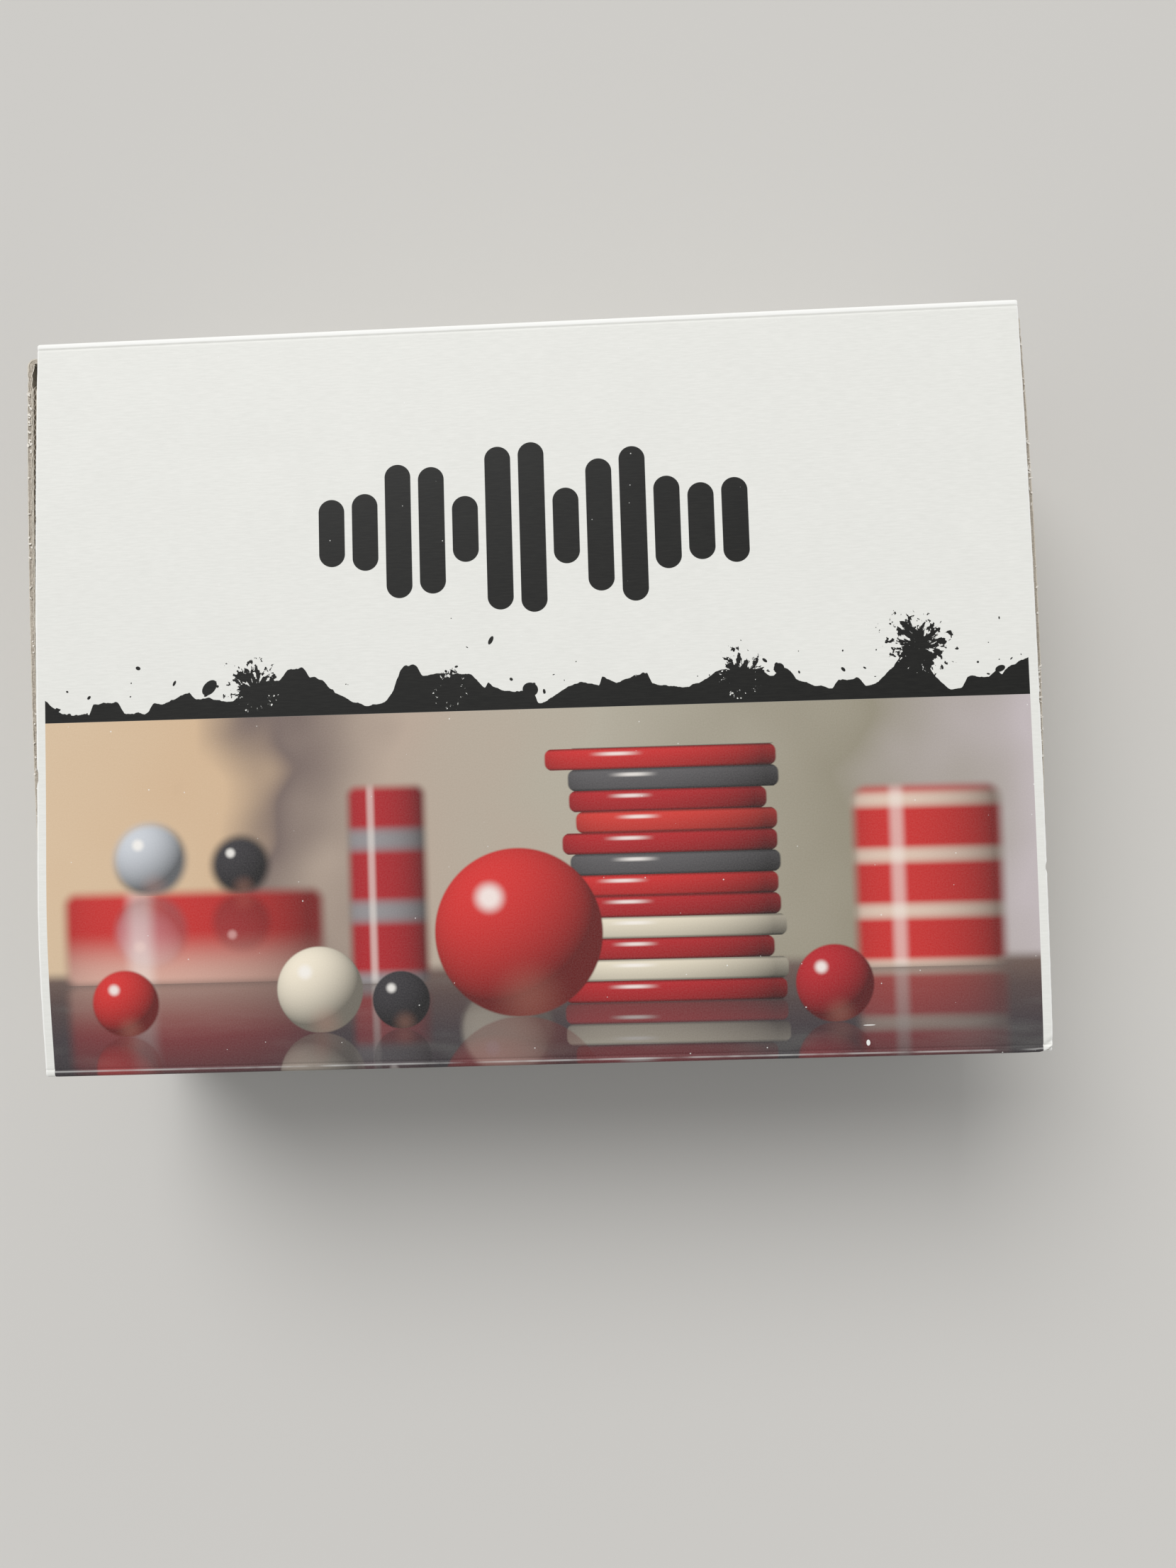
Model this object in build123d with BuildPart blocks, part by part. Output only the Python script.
from build123d import *
from collections import namedtuple
import os

os.makedirs("parts", exist_ok=True)

# A slide box of thin fluted board, lying flat: an open-ended printed sleeve round a folded tray.
# X runs from the sleeve's left open end to its right one, Y to the back and Z up, in millimetres.
# The origin is on the ground, under the middle of the whole box with the tray's ends counted in.

# Sleeve, one blank folded at four creases and glued along its lower back corner
sleeve_length = 210.0
sleeve_depth = 157.6
sleeve_height = 65.0         # at the folds
top_crown = 2.4              # how far the top panel bellies up midway between its folds
sleeve_board = 1.0
sleeve_fold = 0.6            # inside radius of a fold
fold_return = 0.8            # flat stretch that the top and bottom panels keep past each fold
crease_width = 0.6           # mouth of the groove that the creasing rule leaves beside a fold
crease_sink = 0.15           # depth of that groove
glue_flap_width = 16.0
glue_flap_bevel = 9.0        # how far the flap's free edge is cut back at each end
seam_lift = 0.4              # raw lower edge of the back panel stays this far off the ground

# Tray, one blank folded up at its base, with its corner flaps glued outside the end walls
tray_board = 1.0
tray_fold = 0.6
side_clearance = 0.6         # tray to sleeve, at the front and at the glue flap
floor_clearance = 0.3        # tray to the sleeve's bottom panel
rim_clearance = 0.7          # tray rim to the underside of the sleeve's top panel
end_setback = 0.1            # glued flaps lie this far inside the sleeve's open ends
flap_lift = 2.4              # lower edge of a corner flap above the tray's underside
flap_corner_cut = 5.0        # bevel on the free corners of every flap and end wall
back_flap_length = 112.0     # from its corner fold to its free edge
flap_gap = 4.0               # between the free edges of an end's two corner flaps
wall_gap = 0.2               # end wall's raw side edges to the folds of the corner flaps
lean_gap = 0.1               # end wall's leaning rim to the back flap that it leans on

# The long back flaps stand off their end walls in a shallow bow that shows past the sleeve.
# These are how far a flap stands past the sleeve's end: at its corner fold, at the middle of the
# bow, which lies bow_place along the flap, and at its free edge.
left_corner_out = 3.05
left_bow_out = 3.30
left_bow_place = 42.0
left_tip_out = 1.90
right_corner_out = 0.85
right_bow_out = 1.85
right_bow_place = 60.0
right_tip_out = 0.90
TrayEnd = namedtuple("TrayEnd", "name side corner_out bow_out bow_place tip_out")
tray_ends = (
    TrayEnd("left", -1, left_corner_out, left_bow_out, left_bow_place, left_tip_out),
    TrayEnd("right", 1, right_corner_out, right_bow_out, right_bow_place, right_tip_out),
)

# Worked out from the sizes above
sleeve_bend = sleeve_fold + sleeve_board
tray_bend = tray_fold + tray_board
out_of_sleeve = {end.name: max(end.corner_out, end.bow_out) for end in tray_ends}
sleeve_middle = (out_of_sleeve["left"] - out_of_sleeve["right"]) / 2
sleeve_left = sleeve_middle - sleeve_length / 2
front_face = -sleeve_depth / 2
back_face = sleeve_depth / 2
seam_face = back_face - sleeve_board
panel_edge = sleeve_bend + fold_return
side_height = sleeve_height - 2 * panel_edge

tray_front = front_face + sleeve_board + side_clearance
tray_back = seam_face - sleeve_board - side_clearance
tray_bottom = sleeve_board + floor_clearance
tray_rim = sleeve_height - sleeve_board - rim_clearance
end_wall_out = sleeve_length / 2 - end_setback - tray_board
base_edge = end_wall_out - tray_bend
end_room = tray_back - tray_front - 2 * tray_bend
front_flap_length = end_room - back_flap_length - flap_gap


def bent_board(outer, inner, bend, fold):
    """Outline of a folded board from the corner points of its outer and inner faces."""
    with BuildLine() as outline:
        outside = FilletPolyline(*outer, radius=bend)
        inside = FilletPolyline(*inner, radius=fold)
        Line(outside @ 0, inside @ 0)
        Line(outside @ 1, inside @ 1)
    make_face(outline.edges())


def crease_groove(place):
    """Round-bottomed groove across the sketch at one point of the board's outer face."""
    radius = (crease_width**2 / 4 + crease_sink**2) / (2 * crease_sink)
    outward = 1 if place[1] > sleeve_height / 2 else -1
    with Locations((place[0], place[1] + outward * (radius - crease_sink))):
        Circle(radius, mode=Mode.SUBTRACT)


def finish(piece, name):
    """Give a finished piece its name and write it out."""
    piece.part.label = name
    export_step(piece.part, f"parts/{name}.step")
    print(f"{name}: {piece.part.volume / 1000:.2f} cm3")



def crowned_face(radius):
    """One face of the top panel: a short way up the front, round its fold, over the low crown and
    round the back fold. Both faces share the middles of the folds."""
    front = front_face + sleeve_bend
    back = back_face - sleeve_bend
    level = sleeve_height - sleeve_bend
    foot = level - fold_return
    rise = Line((front - radius, foot), (front - radius, level))
    CenterArc((front, level), radius, 180, -90)
    ThreePointArc((front, level + radius), (0, level + radius + top_crown), (back, level + radius))
    CenterArc((back, level), radius, 90, -90)
    fall = Line((back + radius, level), (back + radius, foot))
    return rise @ 0, fall @ 1


# Sleeve top panel, with the fold on each side
with BuildPart() as sleeve_top:
    with BuildSketch(Plane.YZ.offset(sleeve_left)):
        with BuildLine():
            outer_ends = crowned_face(sleeve_bend)
            inner_ends = crowned_face(sleeve_fold)
            Line(outer_ends[0], inner_ends[0])
            Line(outer_ends[1], inner_ends[1])
        make_face()
        crease_groove((front_face + sleeve_bend, sleeve_height))
        crease_groove((back_face - sleeve_bend, sleeve_height))
    extrude(amount=sleeve_length)
finish(sleeve_top, "sleeve_top")

# Sleeve bottom panel: its front fold meets the front panel, its back fold runs into the glue flap
with BuildPart() as sleeve_bottom:
    with BuildSketch(Plane.YZ.offset(sleeve_left)):
        bent_board(
            [(front_face, panel_edge), (front_face, 0), (seam_face, 0), (seam_face, panel_edge)],
            [
                (front_face + sleeve_board, panel_edge),
                (front_face + sleeve_board, sleeve_board),
                (seam_face - sleeve_board, sleeve_board),
                (seam_face - sleeve_board, panel_edge),
            ],
            sleeve_bend,
            sleeve_fold,
        )
        crease_groove((front_face + sleeve_bend, 0))
        crease_groove((seam_face - sleeve_bend, 0))
    extrude(amount=sleeve_length)
finish(sleeve_bottom, "sleeve_bottom")

# Sleeve front panel, between the two front folds
with BuildPart() as sleeve_front:
    with BuildSketch(Plane.XZ.offset(-front_face)):
        with Locations((sleeve_middle, panel_edge)):
            Rectangle(sleeve_length, side_height, align=(Align.CENTER, Align.MIN))
    extrude(amount=-sleeve_board)
finish(sleeve_front, "sleeve_front")

# Sleeve back panel, down over the glue flap to its raw lower edge
with BuildPart() as sleeve_back:
    with BuildSketch(Plane.XZ.offset(-back_face)):
        with Locations((sleeve_middle, seam_lift)):
            back_height = sleeve_height - panel_edge - seam_lift
            Rectangle(sleeve_length, back_height, align=(Align.CENTER, Align.MIN))
    extrude(amount=sleeve_board)
finish(sleeve_back, "sleeve_back")

# Glue flap, up the inside of the back panel, with both ends bevelled
with BuildPart() as glue_flap:
    with BuildSketch(Plane.XZ.offset(-seam_face)):
        with BuildLine():
            root = sleeve_length / 2
            tip = root - glue_flap_bevel
            Polyline(
                (sleeve_middle - root, panel_edge),
                (sleeve_middle + root, panel_edge),
                (sleeve_middle + tip, glue_flap_width),
                (sleeve_middle - tip, glue_flap_width),
                close=True,
            )
        make_face()
    extrude(amount=sleeve_board)
finish(glue_flap, "sleeve_glue_flap")

# Tray base, a flat sheet between the four base folds
with BuildPart() as tray_base:
    with BuildSketch(Plane.XY.offset(tray_bottom)):
        with Locations((sleeve_middle, (tray_front + tray_back) / 2)):
            Rectangle(2 * base_edge, end_room)
    extrude(amount=tray_board)
finish(tray_base, "tray_base")


def corner_x(end, back):
    """Place along X of a corner flap's outer face where its fold ends."""
    out = end.corner_out if back else -end_setback
    return sleeve_middle + end.side * (sleeve_length / 2 + out)


# Front and back tray walls: a fold off the base, then a flat wall up to the rim
for name, face, inward in (("front", tray_front, 1), ("back", tray_back, -1)):
    stub = face + inward * tray_bend
    wall_left = corner_x(tray_ends[0], name == "back") + tray_bend
    wall_right = corner_x(tray_ends[1], name == "back") - tray_bend
    base_left = sleeve_middle - base_edge
    with BuildPart() as tray_wall:
        with BuildSketch(Plane.YZ.offset(base_left)):
            with BuildLine():
                fold_middle = (stub, tray_bottom + tray_bend)
                turn = -90 if inward > 0 else 90
                outside = CenterArc(fold_middle, tray_bend, 270, turn)
                inside = CenterArc(fold_middle, tray_fold, 270, turn)
                Line(outside @ 0, inside @ 0)
                Line(outside @ 1, inside @ 1)
            make_face()
        extrude(amount=2 * base_edge)
        with BuildSketch(Plane.XZ.offset(-face)):
            with BuildLine():
                Polyline(
                    (wall_left, tray_bottom + flap_lift),
                    (base_left, tray_bottom + flap_lift),
                    (base_left, tray_bottom + tray_bend),
                    (base_left + 2 * base_edge, tray_bottom + tray_bend),
                    (base_left + 2 * base_edge, tray_bottom + flap_lift),
                    (wall_right, tray_bottom + flap_lift),
                    (wall_right, tray_rim),
                    (wall_left, tray_rim),
                    close=True,
                )
            make_face()
        extrude(amount=-inward * tray_board)
    finish(tray_wall, f"tray_wall_{name}")


def level_strip(height, points, across):
    """Section of a standing board at one height, as thick along X as across says. Its outer face
    is an arc through the first three points, or a line where the middle one is None, and then
    a line to the last."""

    def face_line(shift):
        back, middle, tip, front = [p and (p[0] + shift, p[1], height) for p in points]
        first = ThreePointArc(back, middle, tip) if middle else Line(back, tip)
        return [first, Line(tip, front)]

    outer = face_line(0)
    inner = face_line(across)
    front_edge = Line(outer[1] @ 1, inner[1] @ 1)
    back_edge = Line(inner[0] @ 0, outer[0] @ 0)
    return Face(Wire([*outer, front_edge, *reversed(inner), back_edge]))


wall_back = tray_back - tray_bend - wall_gap
wall_front = tray_front + tray_bend + wall_gap
foot = tray_bottom + tray_bend

for end in tray_ends:
    fold_y = tray_back - tray_bend
    flap_x = corner_x(end, back=True)
    bow_x = sleeve_middle + end.side * (sleeve_length / 2 + end.bow_out)
    bow_y = fold_y - end.bow_place
    tip_x = sleeve_middle + end.side * (sleeve_length / 2 + end.tip_out)
    tip_y = fold_y - back_flap_length
    flush_x = sleeve_middle + end.side * (sleeve_length / 2 - end_setback)
    inset = end.side * tray_board

    # End wall: its foot is straight along the base fold, and its rim leans out to the back flap
    base_x = sleeve_middle + end.side * base_edge
    wall_face = flush_x - inset
    lean = inset + end.side * lean_gap
    front_end = (wall_face, wall_front)
    foot_section = level_strip(foot, [(wall_face, wall_back), None, (wall_face, tip_y), front_end], -inset)
    rim_points = [(flap_x - lean, wall_back), (bow_x - lean, bow_y), (tip_x - lean, tip_y), front_end]
    rim_section = level_strip(tray_rim, rim_points, -inset)
    with BuildPart() as end_wall:
        with BuildSketch(Plane.XZ.offset(-wall_back)):
            with BuildLine():
                outside = CenterArc((base_x, foot), tray_bend, 270, end.side * 90)
                inside = CenterArc((base_x, foot), tray_fold, 270, end.side * 90)
                Line(outside @ 0, inside @ 0)
                Line(outside @ 1, inside @ 1)
            make_face()
        extrude(amount=wall_back - wall_front)
        loft([foot_section, rim_section], ruled=True)
        with BuildSketch(Plane.YZ.offset(wall_face)):
            with Locations((wall_back, tray_rim), (wall_front, tray_rim)):
                Rectangle(flap_corner_cut * 2**0.5, flap_corner_cut * 2**0.5, rotation=45)
        extrude(amount=sleeve_board + tray_board + end.bow_out, both=True, mode=Mode.SUBTRACT)
    finish(end_wall, f"tray_end_{end.name}")

    # Back corner flap: a vertical fold off the back wall, then the bowed run along the end wall
    with BuildPart() as back_flap:
        with BuildSketch(Plane.XY.offset(tray_bottom + flap_lift)):
            with BuildLine():
                fold_middle = (flap_x - end.side * tray_bend, fold_y)
                outside = CenterArc(fold_middle, tray_bend, 90, -end.side * 90)
                inside = CenterArc(fold_middle, tray_fold, 90, -end.side * 90)
                Line(outside @ 0, inside @ 0)
                ThreePointArc((flap_x, fold_y), (bow_x, bow_y), (tip_x, tip_y))
                ThreePointArc((flap_x - inset, fold_y), (bow_x - inset, bow_y), (tip_x - inset, tip_y))
                Line((tip_x, tip_y), (tip_x - inset, tip_y))
            make_face()
        extrude(amount=tray_rim - tray_bottom - flap_lift)
        free_corners = back_flap.edges().filter_by(Axis.X).group_by(Axis.Y)[0]
        chamfer(free_corners, length=flap_corner_cut)
    finish(back_flap, f"tray_flap_back_{end.name}")

    # Front corner flap: short and flat, and swung out with the leaning rim of the end wall
    fold_y = tray_front + tray_bend
    front_tip_y = fold_y + front_flap_length
    rim_share = (front_tip_y - wall_front) / (tip_y - wall_front)
    front_tip_x = wall_face + (tip_x - lean - wall_face) * rim_share + lean
    with BuildPart() as front_flap:
        with BuildSketch(Plane.XY.offset(tray_bottom + flap_lift)):
            with BuildLine():
                fold_middle = (flush_x - end.side * tray_bend, fold_y)
                outside = CenterArc(fold_middle, tray_bend, 270, end.side * 90)
                inside = CenterArc(fold_middle, tray_fold, 270, end.side * 90)
                Line(outside @ 0, inside @ 0)
                Line((flush_x, fold_y), (front_tip_x, front_tip_y))
                Line((flush_x - inset, fold_y), (front_tip_x - inset, front_tip_y))
                Line((front_tip_x, front_tip_y), (front_tip_x - inset, front_tip_y))
            make_face()
        extrude(amount=tray_rim - tray_bottom - flap_lift)
        free_corners = front_flap.edges().filter_by(Axis.X).group_by(Axis.Y)[-1]
        chamfer(free_corners, length=flap_corner_cut)
    finish(front_flap, f"tray_flap_front_{end.name}")
